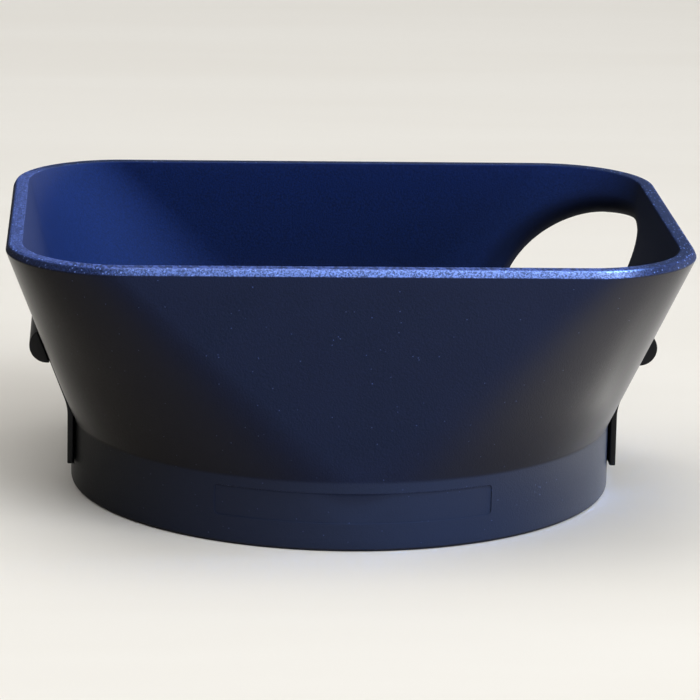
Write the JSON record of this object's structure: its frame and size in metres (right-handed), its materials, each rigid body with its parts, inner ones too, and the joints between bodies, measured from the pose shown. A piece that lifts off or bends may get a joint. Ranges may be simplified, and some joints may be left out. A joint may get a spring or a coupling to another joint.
{
  "type": "lens hood",
  "caption": "Rectangular clip-on lens hood: flared moulded shell on a round ring, sprung side levers with grip bars, and an oval viewfinder window through a corner.",
  "frame": {"origin": "centre of the ring's foot, on the plane it stands on", "axes": "+Z out of the hood's mouth along the optical axis, +X along the rim's long side towards the right lever, +Y to the rear long side with the window at its +X end"},
  "size_m": [0.07, 0.057, 0.0286],
  "materials": {
    "moulded_black": "fine matte grain",
    "blackened_steel": "satin black",
    "grip_black": "satin black",
    "blackened_rivet": "satin black",
    "bright_steel": "drawn bright"
  },
  "bodies": {
    "hood": {"hood_shell": "moulded_black", "pivot_pin_right": "bright_steel", "pivot_pin_left": "bright_steel", "return_spring_right": "bright_steel", "return_spring_left": "bright_steel"},
    "lever_right": {"release_lever_right": "blackened_steel", "grip_bar_right": "grip_black", "grip_rivet_right_front": "blackened_rivet", "grip_rivet_right_rear": "blackened_rivet"},
    "lever_left": {"release_lever_left": "blackened_steel", "grip_bar_left": "grip_black", "grip_rivet_left_front": "blackened_rivet", "grip_rivet_left_rear": "blackened_rivet"}
  },
  "joints": [
    {"name": "lever_right_press", "type": "hinge", "parent": "hood", "child": "lever_right", "pos_m": [0.0273, 0, 0.0086], "axis": [0, -1, 0], "range_deg": [0, 8], "stiffness_Nm_per_rad": 0.1, "springref_deg": -5.73, "deforming": ["return_spring_right"]},
    {"name": "lever_left_press", "type": "hinge", "parent": "hood", "child": "lever_left", "pos_m": [-0.0273, 0, 0.0086], "axis": [0, 1, 0], "range_deg": [0, 8], "stiffness_Nm_per_rad": 0.1, "springref_deg": -5.73, "deforming": ["return_spring_left"]}
  ]
}
